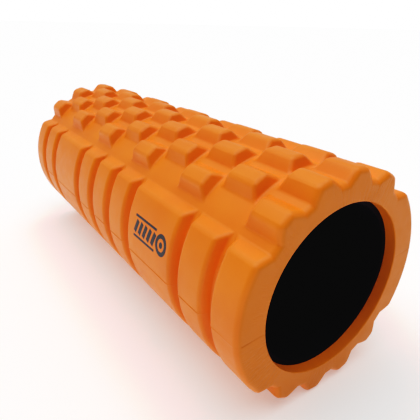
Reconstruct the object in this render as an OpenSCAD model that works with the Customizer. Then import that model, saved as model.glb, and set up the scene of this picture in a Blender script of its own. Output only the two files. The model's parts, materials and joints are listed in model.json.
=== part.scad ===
// Foam roller: one moulded foam sleeve around a hollow, rigid core tube.
// The axis lies along X. The origin is on the axis, half way along the roller.
// Two opposite quarters of the sleeve carry raised bands that run round it.
// The two quarters between them carry staggered rows of raised blocks.
// Lengths are in millimetres, angles in degrees.

/* [Overall] */
// Diameter over the tops of the bands and blocks
roller_d = 140; // [120:1:160]
// Length of the foam sleeve, end face to end face
roller_len = 342; // [300:1:400]
// Turn about the axis that sets the roller down on two rows of blocks
rest_turn = 5.675; // [0:0.005:6]
// Radius that rounds the outer rim at both ends
end_round = 2.5; // [0.5:0.5:4]

/* [Core tube] */
// Outside diameter of the tube, which is also the bore of the foam
core_d = 103.4; // [90:0.2:108]
// Wall thickness of the tube
core_wall = 3.2; // [2:0.1:5]
// How far the tube stops short of each end face of the foam
core_recess = 6.8; // [2:0.2:12]

/* [Relief] */
// Height of the bands and blocks above the base surface of the foam
relief = 6.5; // [3:0.5:7]
// Length along the axis of the top of one band or block
top_len = 22; // [14:0.5:24]
// How far an end wall of a band or block leans out from top to foot
end_lean = 3; // [1:0.5:4]

/* [Bands] */
// Half of the angle that the tops of the bands cover
band_half = 36; // [30:0.5:37]
// Half of the angle that the feet of the bands cover
band_foot_half = 42; // [40:0.5:43]

/* [Blocks] */
// Angle from one row of blocks to the next
row_pitch = 11.35; // [11:0.05:12]
// Width across the top of one block, round the roller
block_w = 8.8; // [6:0.2:10]
// How far a side wall of a block leans out from top to foot
side_lean = 6; // [3:0.5:7]

/* [Hidden] */
$fa = 2;
$fs = 0.5;
top_r = roller_d / 2;
base_r = top_r - relief;
// The tubes and rails start this far under the base surface
root_r = base_r - 2;
// The rails reach this far above the tops before they are cut to them
over_r = top_r + 2;
// Band and block places are numbered from -last_place to last_place
last_place = 5;
place_pitch = (roller_len - top_len) / (2 * last_place);
// The wide bands cover two neighbouring places each
wide_place = 2.5;
wide_len = top_len + place_pitch;
core_len = roller_len - 2 * core_recess;
foam_color = [0.93, 0.5, 0.13];
core_color = [0.06, 0.06, 0.07];

// Half length of a ring with a top of length len, at radius r
function ring_half(len, r) = len / 2 + (top_r - r) * end_lean / relief;

// Half width of a block at radius r
function block_half(r) = block_w / 2 + (top_r - r) * side_lean / relief;

// Point on the slope at the end of the bands, at share t from top to foot
function band_slope(t) =
    (1 - t) * top_r * [cos(band_half), sin(band_half)]
    + t * base_r * [cos(band_foot_half), sin(band_foot_half)];

// Lays a solid that stands on Z down along X, with its own X turned to up
module along_x() {
    rotate([0, 90, 0])
        children();
}

// One raised ring all the way round, centred on a numbered place
module ring(place, len) {
    middle = place * place_pitch;
    along_x()
        rotate_extrude()
            polygon([
                [root_r, middle - ring_half(len, root_r)],
                [top_r, middle - ring_half(len, top_r)],
                [top_r, middle + ring_half(len, top_r)],
                [root_r, middle + ring_half(len, root_r)],
            ]);
}

// Rings at every second place, starting from the one named
module rings(first) {
    for (place = [first : 2 : last_place])
        ring(place, top_len);
}

// Rings that become the bands: two single, one wide, three single, and so on
module band_rings() {
    for (place = [-5, -4, -1, 0, 1, 4, 5])
        ring(place, top_len);
    for (side = [-1, 1])
        ring(side * wide_place, wide_len);
}

// Prism along the whole roller that cuts the rings down to one set of bands
module band_sector(side) {
    high = band_slope(-0.6);
    low = band_slope(1.6);
    along_x()
        linear_extrude(roller_len + 2, center = true)
            rotate(side * 90)
                polygon([
                    [0, 0],
                    [low[0], -low[1]],
                    [high[0], -high[1]],
                    [over_r * 1.2, -high[1]],
                    [over_r * 1.2, high[1]],
                    [high[0], high[1]],
                    [low[0], low[1]],
                ]);
}

// Rail along the whole roller with the cross-section of one row of blocks
module rail(turn) {
    along_x()
        linear_extrude(roller_len + 2, center = true)
            rotate(turn)
                polygon([
                    [root_r, -block_half(root_r)],
                    [over_r, -block_half(over_r)],
                    [over_r, block_half(over_r)],
                    [root_r, block_half(root_r)],
                ]);
}

// Both sets of bands, on opposite sides of the roller
module bands() {
    intersection() {
        band_rings();
        union() {
            band_sector(-1);
            band_sector(1);
        }
    }
}

// Blocks of the rows that share their places along the roller
module blocks(first_place, rows) {
    intersection() {
        rings(first_place);
        union() {
            for (side = [0, 180])
                for (row = rows)
                    rail(side + row * row_pitch);
        }
    }
}

// Plain body that the whole sleeve must stay inside, with rounded rims
module envelope() {
    along_x()
        rotate_extrude()
            union() {
                square([top_r - end_round, roller_len / 2]);
                square([top_r, roller_len / 2 - end_round]);
                translate([top_r - end_round, roller_len / 2 - end_round])
                    circle(end_round);
                mirror([0, 1]) {
                    square([top_r - end_round, roller_len / 2]);
                    square([top_r, roller_len / 2 - end_round]);
                    translate([top_r - end_round, roller_len / 2 - end_round])
                        circle(end_round);
                }
            }
}

// Moulded foam, with its bands, its blocks and the bore for the tube
module foam_sleeve() {
    color(foam_color)
        rotate([rest_turn, 0, 0])
            difference() {
                intersection() {
                    union() {
                        along_x()
                            cylinder(h = roller_len, r = base_r, center = true);
                        bands();
                        blocks(-5, [-3, -1, 1, 3]);
                        blocks(-4, [-2, 0, 2]);
                    }
                    envelope();
                }
                along_x()
                    cylinder(h = roller_len + 2, d = core_d, center = true);
            }
}

// Hollow tube that stiffens the roller, set back from both end faces
module core_tube() {
    color(core_color)
        along_x()
            difference() {
                cylinder(h = core_len, d = core_d, center = true);
                cylinder(h = core_len + 2, d = core_d - 2 * core_wall, center = true);
            }
}

foam_sleeve();
core_tube();
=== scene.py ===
"""Foam roller: a moulded foam sleeve on a hollow core tube.

The sleeve is modelled flat, as a slab whose width is the way round the roller, with every band
and block drawn out of its face. The slab is then bent into a tube. The core tube is the packed
one with a plastic finish of its own. All sizes are in metres.
"""

from __future__ import annotations

import json
import logging
import math
from dataclasses import dataclass, field
from enum import Enum
from typing import Callable, Iterable

import bmesh
import bpy
from mathutils import Matrix, Vector

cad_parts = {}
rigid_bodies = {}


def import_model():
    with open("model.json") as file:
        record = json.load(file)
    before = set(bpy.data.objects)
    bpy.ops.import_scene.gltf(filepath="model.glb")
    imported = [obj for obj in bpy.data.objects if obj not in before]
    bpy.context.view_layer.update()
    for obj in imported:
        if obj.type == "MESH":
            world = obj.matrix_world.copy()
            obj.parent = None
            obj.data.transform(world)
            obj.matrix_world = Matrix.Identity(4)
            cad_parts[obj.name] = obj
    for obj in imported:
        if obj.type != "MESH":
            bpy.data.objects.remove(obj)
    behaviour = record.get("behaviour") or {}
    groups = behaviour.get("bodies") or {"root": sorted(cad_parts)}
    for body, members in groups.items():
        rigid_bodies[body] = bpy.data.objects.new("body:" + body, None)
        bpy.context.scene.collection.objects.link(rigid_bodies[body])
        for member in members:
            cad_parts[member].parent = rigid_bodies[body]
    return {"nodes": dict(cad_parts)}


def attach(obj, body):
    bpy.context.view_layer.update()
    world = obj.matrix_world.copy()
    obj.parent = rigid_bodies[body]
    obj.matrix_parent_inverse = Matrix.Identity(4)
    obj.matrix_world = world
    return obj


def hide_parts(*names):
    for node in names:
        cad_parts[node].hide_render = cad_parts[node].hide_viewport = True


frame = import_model()

LOG = logging.getLogger("foam_roller")
MM = 0.001
TINY = 1e-6  # two places closer than this are the same place
SMOOTH_BELOW = 40.0  # edges that turn less than this, in degrees, are shaded smooth

RANGE_INPUTS = ("From Min", "From Max", "To Min", "To Max")
NOISE_RANGE = (0.3, 0.7)  # where nearly all of a noise lies
Socket = bpy.types.NodeSocket
Colour = tuple[float, float, float, float]


class Relief(Enum):
    """The two kinds of raised shape on the sleeve."""

    BAND = "band"
    BLOCK = "block"


@dataclass
class Patch:
    """A rectangle on the flat slab that is drawn out into a band or a block.

    Angles go round the roller from the middle of one set of bands, in degrees.
    Places along the roller are in metres from its middle.
    """

    angle: float
    foot_half_angle: float
    top_half_angle: float
    foot_ends: tuple[float, float]
    top_ends: tuple[float, float]


class Bench:
    """A mesh being shaped in edit mode with Blender's own operators."""

    flat_within = 0.5

    def __init__(self, piece: bpy.types.Object) -> None:
        """Take the piece in hand and open it in edit mode."""
        self.piece = piece
        bpy.ops.object.select_all(action="DESELECT")
        bpy.context.view_layer.objects.active = piece
        piece.select_set(True)
        bpy.ops.object.mode_set(mode="EDIT")
        self.pick_none()

    def close(self) -> bpy.types.Object:
        """Leave edit mode and hand the piece back."""
        bpy.ops.object.mode_set(mode="OBJECT")
        return self.piece

    def pick_none(self) -> None:
        """Deselect every vertex, edge and face."""
        bpy.ops.mesh.select_all(action="DESELECT")

    def pick_all(self) -> None:
        """Select the whole mesh."""
        bpy.ops.mesh.select_all(action="SELECT")

    def pick(self, mode: str, name: str, test: Callable[[object], bool]) -> None:
        """Select the parts of one kind that pass a test, and nothing else.

        Args:
            mode: Blender's name for the kind when selecting, such as FACE.
            name: the mesh's own name for them, such as faces.
            test: says for one of them whether it is picked.
        """
        bpy.ops.mesh.select_mode(type=mode)
        self.pick_none()
        mesh = bmesh.from_edit_mesh(self.piece.data)
        for part in [p for p in getattr(mesh, name) if test(p)]:
            part.select_set(True)
        bmesh.update_edit_mesh(self.piece.data)

    def pick_faces(self, test: Callable[[bmesh.types.BMFace], bool]) -> None:
        """Select the faces that pass a test, and nothing else."""
        self.pick("FACE", "faces", test)

    def pick_edges(self, test: Callable[[bmesh.types.BMEdge], bool]) -> None:
        """Select the edges that pass a test, and nothing else."""
        self.pick("EDGE", "edges", test)

    def pick_points(self, test: Callable[[Vector], bool]) -> None:
        """Select the vertices whose place passes a test, and nothing else."""
        self.pick("VERT", "verts", lambda v: test(v.co))

    def cut(self, place: Vector, normal: Vector) -> None:
        """Cut the whole mesh along a plane, keeping both sides."""
        self.pick_all()
        bpy.ops.mesh.bisect(plane_co=place, plane_no=normal, threshold=TINY)

    def draw_out(self, move: Vector) -> None:
        """Extrude the picked faces along a move."""
        bpy.ops.mesh.extrude_region_move(TRANSFORM_OT_translate={"value": move})

    def move(self, way: Vector) -> None:
        """Move what is picked."""
        bpy.ops.transform.translate(value=way)

    def shrink(self, scale: Vector, about: Vector) -> None:
        """Scale what is picked about a place."""
        bpy.ops.transform.resize(value=scale, center_override=about)

    def merge_flats(self) -> None:
        """Merge the picked faces wherever they lie in one plane."""
        flat = math.radians(self.flat_within)
        bpy.ops.mesh.dissolve_limited(angle_limit=flat, use_dissolve_boundaries=False, delimit=set())

    def weigh(self, share: float) -> None:
        """Set how much of the full round the picked edges get."""
        bpy.ops.transform.edge_bevelweight(value=share)

    def round_weighed(self, radius: float, steps: int) -> None:
        """Round every weighed edge, each to its own share of the radius."""
        bpy.ops.object.mode_set(mode="OBJECT")
        bpy.ops.object.modifier_add(type="BEVEL")
        bevel = self.piece.modifiers[-1]
        bevel.limit_method = "WEIGHT"
        bevel.width = radius
        bevel.segments = steps
        bevel.use_clamp_overlap = False
        bpy.ops.object.modifier_apply(modifier=bevel.name)
        bpy.ops.object.mode_set(mode="EDIT")


class NodeKit:
    """Adds and joins the nodes of one material."""

    def __init__(self, name: str) -> None:
        """Make a material of that name with one Principled shader."""
        self.material = bpy.data.materials.new(name)
        self.material.use_nodes = True
        self.tree = self.material.node_tree
        self.shader = self.tree.nodes["Principled BSDF"]
        self.place = self.add("ShaderNodeTexCoord").outputs["Object"]

    def add(self, kind: str, **settings: object) -> bpy.types.Node:
        """Add a node and set its properties."""
        node = self.tree.nodes.new(kind)
        for name, value in settings.items():
            setattr(node, name, value)
        return node

    def join(self, source: Socket | float | tuple, target: Socket) -> None:
        """Link a socket to an input, or set the input where the source is a plain value."""
        if isinstance(source, Socket):
            self.tree.links.new(source, target)
        else:
            target.default_value = source

    def noise(self, scale: float, detail: float = 2.0, place: Socket | None = None) -> Socket:
        """Soft random value at a scale in features per metre."""
        node = self.add("ShaderNodeTexNoise")
        self.join(place or self.place, node.inputs["Vector"])
        node.inputs["Scale"].default_value = scale
        node.inputs["Detail"].default_value = detail
        return node.outputs["Fac"]

    def spread(
        self, value: Socket, low: float, high: float, to_low: float = 0.0, to_high: float = 1.0
    ) -> Socket:
        """Map a value from one range to another, held inside it."""
        node = self.add("ShaderNodeMapRange")
        for name, amount in zip(RANGE_INPUTS, (low, high, to_low, to_high)):
            node.inputs[name].default_value = amount
        self.join(value, node.inputs["Value"])
        return node.outputs["Result"]

    def sum_up(self, operation: str, first: Socket | float, second: Socket | float = 0.0) -> Socket:
        """One step of arithmetic on two values."""
        node = self.add("ShaderNodeMath", operation=operation)
        self.join(first, node.inputs[0])
        self.join(second, node.inputs[1])
        return node.outputs[0]

    def blend(self, amount: Socket, first: Socket | Colour, second: Socket | Colour) -> Socket:
        """Mix two colours by an amount."""
        node = self.add("ShaderNodeMix", data_type="RGBA")
        self.join(amount, node.inputs[0])
        self.join(first, node.inputs[6])
        self.join(second, node.inputs[7])
        return node.outputs[2]

    def bump(self, height: Socket, depth: float, strength: float, under: Socket | None = None) -> Socket:
        """Turn a height from 0 to 1 into a bump of a depth in metres."""
        node = self.add("ShaderNodeBump")
        node.inputs["Distance"].default_value = depth
        node.inputs["Strength"].default_value = strength
        self.join(height, node.inputs["Height"])
        if under is not None:
            self.join(under, node.inputs["Normal"])
        return node.outputs["Normal"]

    def split(self) -> tuple[Socket, Socket, Socket]:
        """The three parts of the place on the object."""
        node = self.add("ShaderNodeSeparateXYZ")
        self.join(self.place, node.inputs[0])
        return node.outputs[0], node.outputs[1], node.outputs[2]


@dataclass(frozen=True)
class MouldedFoam:
    """Closed-cell foam with the satin skin of a heated mould, rougher and wrinkled on the end faces, where a
    darker colour is painted on as shade.
    """

    light: Colour = (0.93, 0.272, 0.029, 1.0)
    deep: Colour = (0.89, 0.241, 0.025, 1.0)
    speck: Colour = (0.97, 0.32, 0.04, 1.0)
    # painted shade: a darker colour for the end faces, standing in for the light they get less of
    end_painted_shade: Colour = (0.76, 0.236, 0.018, 1.0)
    gloss: float = 0.40
    shine: float = 0.34
    half_length: float = 171 * MM
    cloud_scale: float = 38.0
    speck_scale: float = 1500.0
    speck_share: float = 0.12
    end_painted_shade_share: float = 0.85
    gloss_scale: float = 130.0
    gloss_swing: float = 0.05
    end_roughness: float = 0.04
    end_edge: tuple[float, float] = (0.9 * MM, 0.1 * MM)
    wave_scale: float = 70.0
    grain_scale: float = 1300.0
    crease_scale: float = 620.0
    crease_range: tuple[float, float] = (0.36, 0.52)
    crease_patch_scale: float = 26.0
    crease_patch_range: tuple[float, float] = (0.49, 0.66)
    crease_radius: float = 55 * MM
    crease_stretch: float = 0.22
    wave_depth: float = 0.9 * MM
    crease_depth: float = 0.5 * MM
    grain_depth: float = 0.12 * MM

    def end_mask(self, kit: NodeKit, along: Socket) -> Socket:
        """One on the flat end faces, nothing on the rest."""
        far = kit.sum_up("ABSOLUTE", along)
        first, last = self.end_edge
        return kit.spread(far, self.half_length - first, self.half_length - last)

    def wrinkles(self, kit: NodeKit, ends: Socket) -> Socket:
        """Fine creases that run in from the rim, in patches on the end faces only."""
        along, across, up = kit.split()
        turn = kit.sum_up("ARCTAN2", up, across)
        squares = (kit.sum_up("MULTIPLY", across, across), kit.sum_up("MULTIPLY", up, up))
        reach = kit.sum_up("SQRT", kit.sum_up("ADD", *squares))
        polar = kit.add("ShaderNodeCombineXYZ")
        kit.join(kit.sum_up("MULTIPLY", turn, self.crease_radius), polar.inputs[0])
        kit.join(kit.sum_up("MULTIPLY", reach, self.crease_stretch), polar.inputs[1])
        kit.join(along, polar.inputs[2])
        creases = kit.noise(self.crease_scale, 4.0, polar.outputs["Vector"])
        fine = kit.spread(creases, *self.crease_range)
        patches = kit.spread(kit.noise(self.crease_patch_scale), *self.crease_patch_range)
        shown = kit.sum_up("MULTIPLY", ends, patches)
        return kit.sum_up("MULTIPLY", shown, fine)

    def make(self) -> bpy.types.Material:
        """Build the material."""
        kit = NodeKit("moulded_foam")
        ends = self.end_mask(kit, kit.split()[0])
        clouds = kit.spread(kit.noise(self.cloud_scale, 4.0), *NOISE_RANGE)
        specks = kit.spread(kit.noise(self.speck_scale), 0.35, 0.65)
        body = kit.blend(clouds, self.deep, self.light)
        skin = kit.blend(kit.sum_up("MULTIPLY", specks, self.speck_share), body, self.speck)
        # painted shade: the end faces are blended toward the darker colour
        colour = kit.blend(kit.sum_up("MULTIPLY", ends, self.end_painted_shade_share), skin, self.end_painted_shade)
        kit.join(colour, kit.shader.inputs["Base Color"])
        low, high = self.gloss - self.gloss_swing, self.gloss + self.gloss_swing
        satin = kit.spread(kit.noise(self.gloss_scale, 3.0), *NOISE_RANGE, low, high)
        roughness = kit.sum_up("ADD", satin, kit.sum_up("MULTIPLY", ends, self.end_roughness))
        kit.join(roughness, kit.shader.inputs["Roughness"])
        waves = kit.bump(kit.noise(self.wave_scale), self.wave_depth, 0.25)
        creased = kit.bump(self.wrinkles(kit, ends), self.crease_depth, 0.4, waves)
        grain = kit.bump(kit.noise(self.grain_scale), self.grain_depth, 0.35, creased)
        kit.join(grain, kit.shader.inputs["Normal"])
        kit.shader.inputs["Specular IOR Level"].default_value = self.shine
        return kit.material


@dataclass(frozen=True)
class TubePlastic:
    """Dull black plastic with the faint lengthwise lines of an extruded tube."""

    colour: Colour = (0.026, 0.023, 0.034, 1.0)
    pale: Colour = (0.036, 0.032, 0.046, 1.0)
    gloss: float = 0.55
    shine: float = 0.05
    line_scale: float = 420.0
    line_stretch: tuple[float, float, float] = (0.02, 1.0, 1.0)
    line_depth: float = 0.1 * MM

    def make(self) -> bpy.types.Material:
        """Build the material."""
        kit = NodeKit("tube_plastic")
        stretch = kit.add("ShaderNodeMapping")
        kit.join(kit.place, stretch.inputs["Vector"])
        stretch.inputs["Scale"].default_value = self.line_stretch
        lines = kit.noise(self.line_scale, 3.0, stretch.outputs["Vector"])
        shade = kit.spread(lines, *NOISE_RANGE)
        kit.join(kit.blend(shade, self.colour, self.pale), kit.shader.inputs["Base Color"])
        roughness = kit.spread(lines, *NOISE_RANGE, self.gloss - 0.05, self.gloss + 0.1)
        kit.join(roughness, kit.shader.inputs["Roughness"])
        kit.join(kit.bump(lines, self.line_depth, 0.3), kit.shader.inputs["Normal"])
        kit.shader.inputs["Specular IOR Level"].default_value = self.shine
        return kit.material


@dataclass(frozen=True)
class PrintInk:
    """Flat dark ink, a little thin where the foam's grain shows through."""

    colour: Colour = (0.045, 0.054, 0.072, 1.0)
    worn: Colour = (0.20, 0.08, 0.03, 1.0)
    gloss: float = 0.5
    wear_scale: float = 900.0
    wear_share: float = 0.35
    grain_scale: float = 1300.0
    grain_depth: float = 0.12 * MM

    def make(self) -> bpy.types.Material:
        """Build the material."""
        kit = NodeKit("print_ink")
        thin = kit.spread(kit.noise(self.wear_scale, 3.0), 0.45, 0.8, 0.0, self.wear_share)
        kit.join(kit.blend(thin, self.colour, self.worn), kit.shader.inputs["Base Color"])
        kit.join(kit.bump(kit.noise(self.grain_scale), self.grain_depth, 0.35), kit.shader.inputs["Normal"])
        kit.shader.inputs["Roughness"].default_value = self.gloss
        return kit.material


@dataclass
class PrintedMark:
    """A plain ring with slanted bars and two rails, printed on one wide band.

    It is laid on the flat slab, with U along the roller and V round it, and bends with the slab.
    """

    place: float = 82.8 * MM
    angle: float = 17.5
    ring_place: float = 14.2 * MM
    ring_radii: tuple[float, float] = (6.2 * MM, 3.7 * MM)
    dot_radius: float = 1.8 * MM
    bar_places: tuple[float, float] = (-17.0 * MM, 5.0 * MM)
    bar_count: int = 5
    bar_size: tuple[float, float] = (3.3 * MM, 8.0 * MM)
    bar_slant: float = 20.0
    rail_size: tuple[float, float] = (27.0 * MM, 1.4 * MM)
    rail_place: float = -6.4 * MM
    rail_gap: float = 6.1 * MM
    proud: float = 0.05 * MM
    sunk: float = 0.10 * MM
    strip: float = 0.9 * MM
    round_sides: int = 64
    parts: list[bpy.types.Object] = field(default_factory=list)

    @property
    def thickness(self) -> float:
        """How thick the laid shapes are."""
        return self.proud + self.sunk

    def spot(self, sleeve: FoamSleeve, along: float, around: float) -> Vector:
        """Place on the flat slab of a point of the mark."""
        depth = -(sleeve.relief + self.proud - self.thickness / 2)
        return Vector((sleeve.across(self.angle) + around, depth, -(self.place + along)))

    def bar(self, where: Vector, size: tuple[float, float], slant: float) -> None:
        """Lay one bar."""
        scale = (size[1], self.thickness, size[0])
        turn = (0, math.radians(slant), 0)
        bpy.ops.mesh.primitive_cube_add(size=1.0, location=where, rotation=turn, scale=scale)
        self.parts.append(bpy.context.active_object)

    def disc(self, where: Vector, radius: float, hole: float = 0.0) -> None:
        """Lay one round dot, or a ring where it has a hole."""
        turn = (math.radians(90), 0, 0)
        bpy.ops.mesh.primitive_cylinder_add(
            vertices=self.round_sides, radius=radius, depth=self.thickness, location=where, rotation=turn
        )
        self.parts.append(bpy.context.active_object)
        if hole:
            bench = Bench(self.parts[-1])
            bench.pick_faces(lambda f: len(f.verts) > 4)
            bpy.ops.mesh.inset(thickness=radius - hole)
            bpy.ops.mesh.bridge_edge_loops()
            bench.close()

    def lay(self, sleeve: FoamSleeve, finish: PrintInk) -> bpy.types.Object:
        """Lay the whole mark on the flat slab.

        Args:
            sleeve: the sleeve it is printed on.
            finish: its ink.

        Returns:
            The mark as one flat piece, cut into strips that can bend.
        """
        ring = self.spot(sleeve, self.ring_place, 0.0)
        self.disc(ring, *self.ring_radii)
        self.disc(ring, self.dot_radius)
        first, last = self.bar_places
        for number in range(self.bar_count):
            along = first + (last - first) * number / (self.bar_count - 1)
            self.bar(self.spot(sleeve, along, 0.0), self.bar_size, self.bar_slant)
        for around in (-self.rail_gap, self.rail_gap):
            self.bar(self.spot(sleeve, self.rail_place, around), self.rail_size, 0.0)
        bpy.ops.object.select_all(action="DESELECT")
        for part in self.parts:
            part.select_set(True)
        bpy.ops.object.join()
        mark = bpy.context.active_object
        bpy.ops.object.transform_apply(location=True, rotation=True, scale=True)
        mark.name = "printed_mark"
        mark.data.materials.append(finish.make())
        bench = Bench(mark)
        middle = sleeve.across(self.angle)
        reach = int(self.rail_gap / self.strip) + 2
        for number in range(-reach, reach + 1):
            bench.cut(Vector((middle + number * self.strip, 0, 0)), Vector((1, 0, 0)))
        return bench.close()


@dataclass
class FoamSleeve:
    """The moulded foam sleeve, with bands on two sides and blocks between them."""

    length: float = 342 * MM
    base_radius: float = 63.5 * MM
    relief: float = 6.5 * MM
    bore_radius: float = 51.7 * MM
    rest_turn: float = 5.675
    last_place: int = 5
    last_row: int = 3
    band_places: tuple[tuple[int, int], ...] = (
        (-5, -5), (-4, -4), (-3, -2), (-1, -1), (0, 0), (1, 1), (2, 3), (4, 4), (5, 5),
    )
    top_length: float = 22 * MM
    end_lean: float = 3 * MM
    band_top_half: float = 36.0
    band_foot_half: float = 42.0
    row_pitch: float = 11.35
    block_top_half: float = 3.6
    block_foot_half: float = 9.2
    seam_angle: float = 44.3
    edge_round: float = 2.1 * MM
    end_round: float = 3.6 * MM
    foot_round: float = 1.1 * MM
    rim_round: float = 0.7 * MM
    round_steps: int = 4
    least_turn: float = 20.0
    least_rim_turn: float = 60.0
    strips: int = 120
    seam_half_angle: float = 0.28
    seam_rise: float = 0.32 * MM
    seam_score: float = 0.34 * MM
    weld_gap: float = 0.02 * MM
    patches: list[Patch] = field(default_factory=list)

    @property
    def place_pitch(self) -> float:
        """Distance along the roller from one place to the next."""
        return (self.length - self.top_length) / (2 * self.last_place)

    @property
    def sheet_middle(self) -> float:
        """Angle on the roller of the middle of the flat slab."""
        return self.seam_angle - 180.0

    def across(self, angle: float) -> float:
        """Distance across the flat slab of an angle round the roller."""
        turned = (angle - self.sheet_middle + 180.0) % 360.0 - 180.0
        return math.radians(turned) * self.base_radius

    def span(self, first: float, last: float, lean: float) -> tuple[float, float]:
        """Ends along the roller of what covers the places first to last, cut off at the end faces."""
        half = self.top_length / 2 + lean
        low = first * self.place_pitch - half
        high = last * self.place_pitch + half
        return max(low, -self.length / 2), min(high, self.length / 2)

    def halves(self, kind: Relief) -> tuple[float, float]:
        """Half angles of a raised shape at its foot and at its top, in degrees."""
        if kind is Relief.BAND:
            return self.band_foot_half, self.band_top_half
        return self.block_foot_half, self.block_top_half

    def add_patch(self, angle: float, kind: Relief, first: float, last: float) -> None:
        """Plan one band or block over the places first to last."""
        foot, top = self.halves(kind)
        self.patches.append(
            Patch(angle, foot, top, self.span(first, last, self.end_lean), self.span(first, last, 0.0))
        )

    def plan(self) -> None:
        """Plan every band and block."""
        for side in (0.0, 180.0):
            for first, last in self.band_places:
                self.add_patch(side, Relief.BAND, first, last)
            for row in range(-self.last_row, self.last_row + 1):
                angle = side + 90.0 + row * self.row_pitch
                start = -self.last_place if row % 2 else 1 - self.last_place
                for place in range(start, self.last_place + 1, 2):
                    self.add_patch(angle, Relief.BLOCK, place, place)

    def cut_angles(self) -> list[float]:
        """Angles at which the slab is cut lengthwise before it is drawn out."""
        return sorted({round(p.angle + s * p.foot_half_angle, 6) for p in self.patches for s in (-1, 1)})

    def cut_places(self) -> list[float]:
        """Places at which the slab is cut crosswise before it is drawn out."""
        found = {round(e, 7) for p in self.patches for e in p.foot_ends}
        return sorted(x for x in found if abs(x) < self.length / 2 - 1e-5)

    def slab(self) -> bpy.types.Object:
        """Make the flat slab, open at the two sides that will meet."""
        wall = self.base_radius - self.bore_radius
        width = 2 * math.pi * self.base_radius
        bpy.ops.object.select_all(action="DESELECT")
        bpy.ops.mesh.primitive_cube_add(size=1.0, location=(0, wall / 2, 0), scale=(width, wall, self.length))
        piece = bpy.context.active_object
        piece.name = "foam_sleeve_moulded"
        bpy.ops.object.transform_apply(location=True, rotation=True, scale=True)
        bench = Bench(piece)
        bench.pick_faces(lambda f: abs(f.normal.x) > 0.9)
        bpy.ops.mesh.delete(type="ONLY_FACE")
        for angle in self.cut_angles():
            bench.cut(Vector((self.across(angle), 0, 0)), Vector((1, 0, 0)))
        for place in self.cut_places():
            bench.cut(Vector((0, 0, place)), Vector((0, 0, 1)))
        return bench.close()

    def draw_patch(self, bench: Bench, patch: Patch) -> None:
        """Draw one band or block out of the slab's face, with sloping walls."""
        middle = self.across(patch.angle)
        half = math.radians(patch.foot_half_angle) * self.base_radius
        low, high = patch.foot_ends
        margin = 1e-5

        def inside(face: bmesh.types.BMFace) -> bool:
            """Whether a face of the outer skin lies on the patch's foot."""
            spot = face.calc_center_median()
            return (
                face.normal.y < -0.9
                and abs(spot.y) < margin
                and abs(spot.x - middle) < half
                and low < spot.z < high
            )

        bench.pick_faces(inside)
        bench.draw_out(Vector((0, -self.relief, 0)))
        top_low, top_high = patch.top_ends
        scale_x = patch.top_half_angle / patch.foot_half_angle
        scale_z = (top_high - top_low) / (high - low)
        still = (top_low - low * scale_z) / (1 - scale_z)
        bench.shrink(Vector((scale_x, 1, scale_z)), Vector((middle, -self.relief, still)))

    def round_edges(self, bench: Bench) -> None:
        """Round the tops, the feet and the rims as the mould does."""
        wall = self.base_radius - self.bore_radius
        bench.pick_faces(lambda f: abs(f.calc_center_median().y) > 1e-5 or abs(f.normal.z) > 0.9)
        bench.merge_flats()

        def turn(edge: bmesh.types.BMEdge) -> float:
            """Signed angle at an edge in degrees, positive where it stands out."""
            return math.degrees(edge.calc_face_angle_signed(0.0)) if len(edge.link_faces) == 2 else 0.0

        def outside(edge: bmesh.types.BMEdge) -> bool:
            """Whether an edge is on the patterned side of the slab."""
            return all(v.co.y < wall / 2 for v in edge.verts)

        def at_end(edge: bmesh.types.BMEdge) -> bool:
            """Whether an edge lies in one of the end faces."""
            return all(abs(abs(v.co.z) - self.length / 2) < TINY for v in edge.verts)

        for radius, test in (
            (self.end_round, lambda e: outside(e) and at_end(e) and turn(e) > self.least_turn),
            (self.edge_round, lambda e: outside(e) and not at_end(e) and turn(e) > self.least_turn),
            (self.foot_round, lambda e: outside(e) and turn(e) < -self.least_turn),
            (self.rim_round, lambda e: not outside(e) and turn(e) > self.least_rim_turn),
        ):
            bench.pick_edges(test)
            bench.weigh(radius / self.end_round)
        bench.round_weighed(self.end_round, self.round_steps)

    def cut_fine(self, bench: Bench) -> None:
        """Cut the slab lengthwise into strips narrow enough to bend."""
        step = 360.0 / self.strips
        for number in range(1, self.strips):
            bench.cut(Vector((self.across(self.seam_angle + number * step), 0, 0)), Vector((1, 0, 0)))

    def raise_seams(self, bench: Bench) -> None:
        """Raise the thin line that the two halves of the mould leave, and score it in the end faces."""
        half = math.radians(self.seam_half_angle) * self.base_radius
        wall = self.base_radius - self.bore_radius
        near_end = self.length / 2 - self.end_round
        for side in (0.0, 180.0):
            middle = self.across(side)
            for shift in (-half, 0.0, half):
                bench.cut(Vector((middle + shift, 0, 0)), Vector((1, 0, 0)))

            def on_line(place: Vector) -> bool:
                """Whether a vertex lies on the middle of the parting line."""
                return abs(place.x - middle) < TINY

            bench.pick_points(lambda p: on_line(p) and p.y < wall / 2 and abs(p.z) < near_end)
            bench.move(Vector((0, -self.seam_rise, 0)))
            for end in (-1, 1):
                face = end * self.length / 2
                bench.pick_points(lambda p: on_line(p) and abs(p.z - face) < TINY and p.y < wall - MM)
                bench.move(Vector((0, 0, -end * self.seam_score)))

    def bend(self, piece: bpy.types.Object) -> None:
        """Bend the flat slab into a tube along X and close its seam."""
        bpy.ops.object.modifier_add(type="SIMPLE_DEFORM")
        bender = piece.modifiers[-1]
        bender.deform_method = "BEND"
        bender.deform_axis = "Z"
        bender.angle = 2 * math.pi
        bpy.ops.object.modifier_apply(modifier=bender.name)
        down = Matrix.Translation((0, -self.base_radius, 0))
        along = Matrix.Rotation(math.radians(-90), 4, "Y")
        turned = Matrix.Rotation(math.radians(self.rest_turn - self.sheet_middle), 4, "X")
        piece.matrix_world = turned @ along @ down
        bpy.ops.object.transform_apply(location=True, rotation=True, scale=True)
        bench = Bench(piece)
        bench.pick_all()
        bpy.ops.mesh.remove_doubles(threshold=self.weld_gap)
        bpy.ops.mesh.normals_make_consistent(inside=False)
        bench.close()

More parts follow.
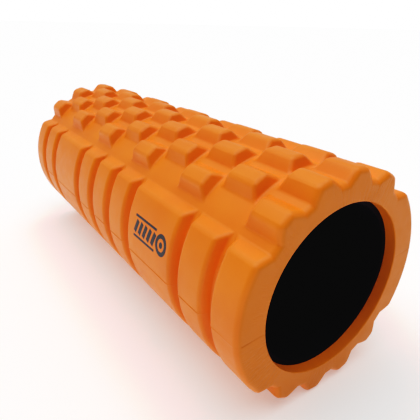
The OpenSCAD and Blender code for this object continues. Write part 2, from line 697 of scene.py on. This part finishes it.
    def part(
        self, joined: bpy.types.Object, foam: bpy.types.Material
    ) -> tuple[bpy.types.Object, bpy.types.Object]:
        """Part the bent sleeve from the printed mark.

        Either half may keep the joined object, so each is known by its material.

        Args:
            joined: the sleeve and the mark in one mesh.
            foam: the sleeve's material.

        Returns:
            The sleeve and the mark.

        Raises:
            ValueError: if the half that is foam doesn't reach from end to end.
        """
        before = set(bpy.data.objects)
        bench = Bench(joined)
        bench.pick_all()
        bpy.ops.mesh.separate(type="MATERIAL")
        bench.close()
        other = (set(bpy.data.objects) - before).pop()
        sleeve, mark = (joined, other) if joined.data.materials[0] == foam else (other, joined)
        mark.name = "printed_mark"
        sleeve.name = "foam_sleeve_moulded"
        reach = max(v.co.x for v in sleeve.data.vertices) - min(v.co.x for v in sleeve.data.vertices)
        if abs(reach - self.length) > MM:
            raise ValueError(f"{sleeve.name} is {reach:.4f} m long and should be {self.length:.4f} m")
        for half in (sleeve, mark):
            LOG.info("%s: %d faces", half.name, len(half.data.polygons))
        return sleeve, mark

    def build(self, finish: MouldedFoam, mark: PrintedMark, ink: PrintInk) -> bpy.types.Object:
        """Model the sleeve with its printed mark and dress both.

        Args:
            finish: the foam's finish.
            mark: the printed mark.
            ink: the mark's finish.

        Returns:
            The sleeve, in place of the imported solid.
        """
        self.plan()
        piece = self.slab()
        bench = Bench(piece)
        for patch in self.patches:
            self.draw_patch(bench, patch)
        self.round_edges(bench)
        self.cut_fine(bench)
        self.raise_seams(bench)
        bench.close()
        foam = finish.make()
        piece.data.materials.append(foam)
        laid = mark.lay(self, ink)
        bpy.ops.object.select_all(action="DESELECT")
        laid.select_set(True)
        piece.select_set(True)
        bpy.context.view_layer.objects.active = piece
        bpy.ops.object.join()
        self.bend(piece)
        piece, printed = self.part(piece, foam)
        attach(printed, "root")
        bpy.ops.object.select_all(action="DESELECT")
        bpy.context.view_layer.objects.active = piece
        piece.select_set(True)
        bpy.ops.object.shade_smooth_by_angle(angle=math.radians(SMOOTH_BELOW))
        bpy.ops.object.modifier_add(type="WEIGHTED_NORMAL")
        piece.modifiers[-1].keep_sharp = True
        bpy.ops.object.modifier_apply(modifier=piece.modifiers[-1].name)
        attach(piece, "root")
        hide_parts("foam_sleeve")
        return piece


@dataclass
class CoreTube:
    """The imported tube, which keeps its shape and gets its finish here."""

    node: str = "core_tube"

    def dress(self, finish: TubePlastic) -> bpy.types.Object:
        """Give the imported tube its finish."""
        piece = frame["nodes"][self.node]
        piece.data.materials.clear()
        piece.data.materials.append(finish.make())
        LOG.info("%s dressed", piece.name)
        return piece


@dataclass(frozen=True)
class SoftLight:
    """One broad, soft light, given by where it hangs and how wide it looks from the roller."""

    name: str
    azimuth: float
    height: float
    power: float
    spread: float

    def hang(self) -> None:
        """Hang the light."""
        bpy.ops.object.light_add(type="SUN")
        lamp = bpy.context.active_object
        lamp.name = self.name
        lamp.data.energy = self.power
        lamp.data.angle = math.radians(self.spread)
        around, up = math.radians(self.azimuth), math.radians(self.height)
        side = Vector((math.cos(up) * math.cos(around), math.cos(up) * math.sin(around), math.sin(up)))
        lamp.rotation_euler = side.to_track_quat("Z", "Y").to_euler()


@dataclass
class Studio:
    """The pale floor, the soft lights and the camera."""

    floor_height: float = -0.0699
    floor_size: float = 300.0
    floor_shade: float = 0.77
    floor_glow: float = 0.22
    eye: tuple[float, float, float] = (0.28699, -0.16918, 0.13228)
    right: tuple[float, float, float] = (0.5722, 0.8198, 0.0209)
    forward: tuple[float, float, float] = (-0.7445, 0.5300, -0.4058)
    focal_share: float = 0.9989
    sensor_width: float = 36.0
    bright_side: tuple[float, float, float] = (-0.635, 0.428, 0.643)
    wall_levels: tuple[float, float] = (-0.06, 0.46)
    wall_reach: tuple[float, float] = (-0.7, 1.0)
    lamps: tuple[SoftLight, ...] = (
        SoftLight("overhead", 240.0, 84.0, 1.42, 70.0),
        SoftLight("left_side", 228.0, 48.0, 0.12, 50.0),
    )
    tone_top: float = 1.3
    tone_middle: float = 0.5
    tone_power: float = 1.7
    paper_levels: tuple[float, float] = (0.70, 0.80)
    white_level: float = 1.2
    black_level: float = 0.003
    curve_points: int = 24

    def floor(self) -> None:
        """Lay a pale floor that glows a little, as lit paper does."""
        bpy.ops.mesh.primitive_plane_add(size=self.floor_size, location=(0, 0, self.floor_height))
        plane = bpy.context.active_object
        plane.name = "floor"
        kit = NodeKit("floor_paper")
        kit.shader.inputs["Base Color"].default_value = (self.floor_shade,) * 3 + (1.0,)
        kit.shader.inputs["Roughness"].default_value = 0.9
        kit.shader.inputs["Specular IOR Level"].default_value = 0.0
        kit.shader.inputs["Emission Color"].default_value = (1.0, 1.0, 1.0, 1.0)
        kit.shader.inputs["Emission Strength"].default_value = self.floor_glow
        plane.data.materials.append(kit.material)

    def surroundings(self) -> None:
        """Light from pale walls that are bright above and behind and dim in front, seen as plain white."""
        world = bpy.data.worlds.new("studio")
        world.use_nodes = True
        tree = world.node_tree
        sky = tree.nodes["Background"]
        toward = tree.nodes.new("ShaderNodeTexCoord").outputs["Generated"]
        facing = tree.nodes.new("ShaderNodeVectorMath")
        facing.operation = "DOT_PRODUCT"
        facing.inputs[1].default_value = self.bright_side
        tree.links.new(toward, facing.inputs[0])
        level = tree.nodes.new("ShaderNodeMapRange")
        for name, amount in zip(RANGE_INPUTS, (*self.wall_reach, *self.wall_levels)):
            level.inputs[name].default_value = amount
        tree.links.new(facing.outputs["Value"], level.inputs["Value"])
        seen = tree.nodes.new("ShaderNodeLightPath").outputs["Is Camera Ray"]
        total = tree.nodes.new("ShaderNodeMath")
        tree.links.new(level.outputs["Result"], total.inputs[0])
        tree.links.new(seen, total.inputs[1])
        tree.links.new(total.outputs[0], sky.inputs["Strength"])
        sky.inputs["Color"].default_value = (1.0, 1.0, 1.0, 1.0)
        bpy.context.scene.world = world

    def lights(self) -> None:
        """Light the surroundings and hang the lamps."""
        self.surroundings()
        for lamp in self.lamps:
            lamp.hang()

    def develop(self) -> None:
        """Give the picture a camera's response: deeper shadows and a soft shoulder."""
        view = bpy.context.scene.view_settings
        view.view_transform = "Standard"
        view.use_curve_mapping = True
        mapping = view.curve_mapping
        mapping.white_level = (self.white_level,) * 3
        curve = mapping.curves[3]
        for number in range(1, self.curve_points):
            level = (number / self.curve_points) ** 2
            curve.points.new(level, max(self.black_level, self.tone(level * self.white_level)))
        curve.points[0].location = (0.0, self.black_level)
        curve.points[-1].location = (1.0, self.tone(self.white_level))
        mapping.update()

    def tone(self, level: float) -> float:
        """Shown brightness of a level of light, with the lit floor's level and all above it white."""
        lit = level**self.tone_power
        shown = self.tone_top * lit / (lit + self.tone_middle**self.tone_power)
        first, last = self.paper_levels
        paper = min(1.0, max(0.0, (level - first) / (last - first)))
        return min(1.0, shown + (1.0 - shown) * paper)

    def camera(self) -> None:
        """Set up the camera."""
        data = bpy.data.cameras.new("camera")
        data.sensor_width = self.sensor_width
        data.lens = self.sensor_width * self.focal_share
        data.clip_start = 0.01
        camera = bpy.data.objects.new("camera", data)
        bpy.context.scene.collection.objects.link(camera)
        back = -Vector(self.forward).normalized()
        right = Vector(self.right)
        right = (right - back * right.dot(back)).normalized()
        up = back.cross(right)
        turn = Matrix((right, up, back)).transposed().to_4x4()
        camera.matrix_world = Matrix.Translation(Vector(self.eye)) @ turn
        bpy.context.scene.camera = camera

    def set_up(self) -> None:
        """Set up everything that isn't the object."""
        self.camera()
        self.floor()
        self.lights()
        self.develop()


def main() -> None:
    """Build the roller and its stage."""
    logging.basicConfig(level=logging.INFO, format="%(message)s")
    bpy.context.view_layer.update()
    Studio().set_up()
    FoamSleeve().build(MouldedFoam(), PrintedMark(), PrintInk())
    CoreTube().dress(TubePlastic())


if __name__ == "__main__":
    main()
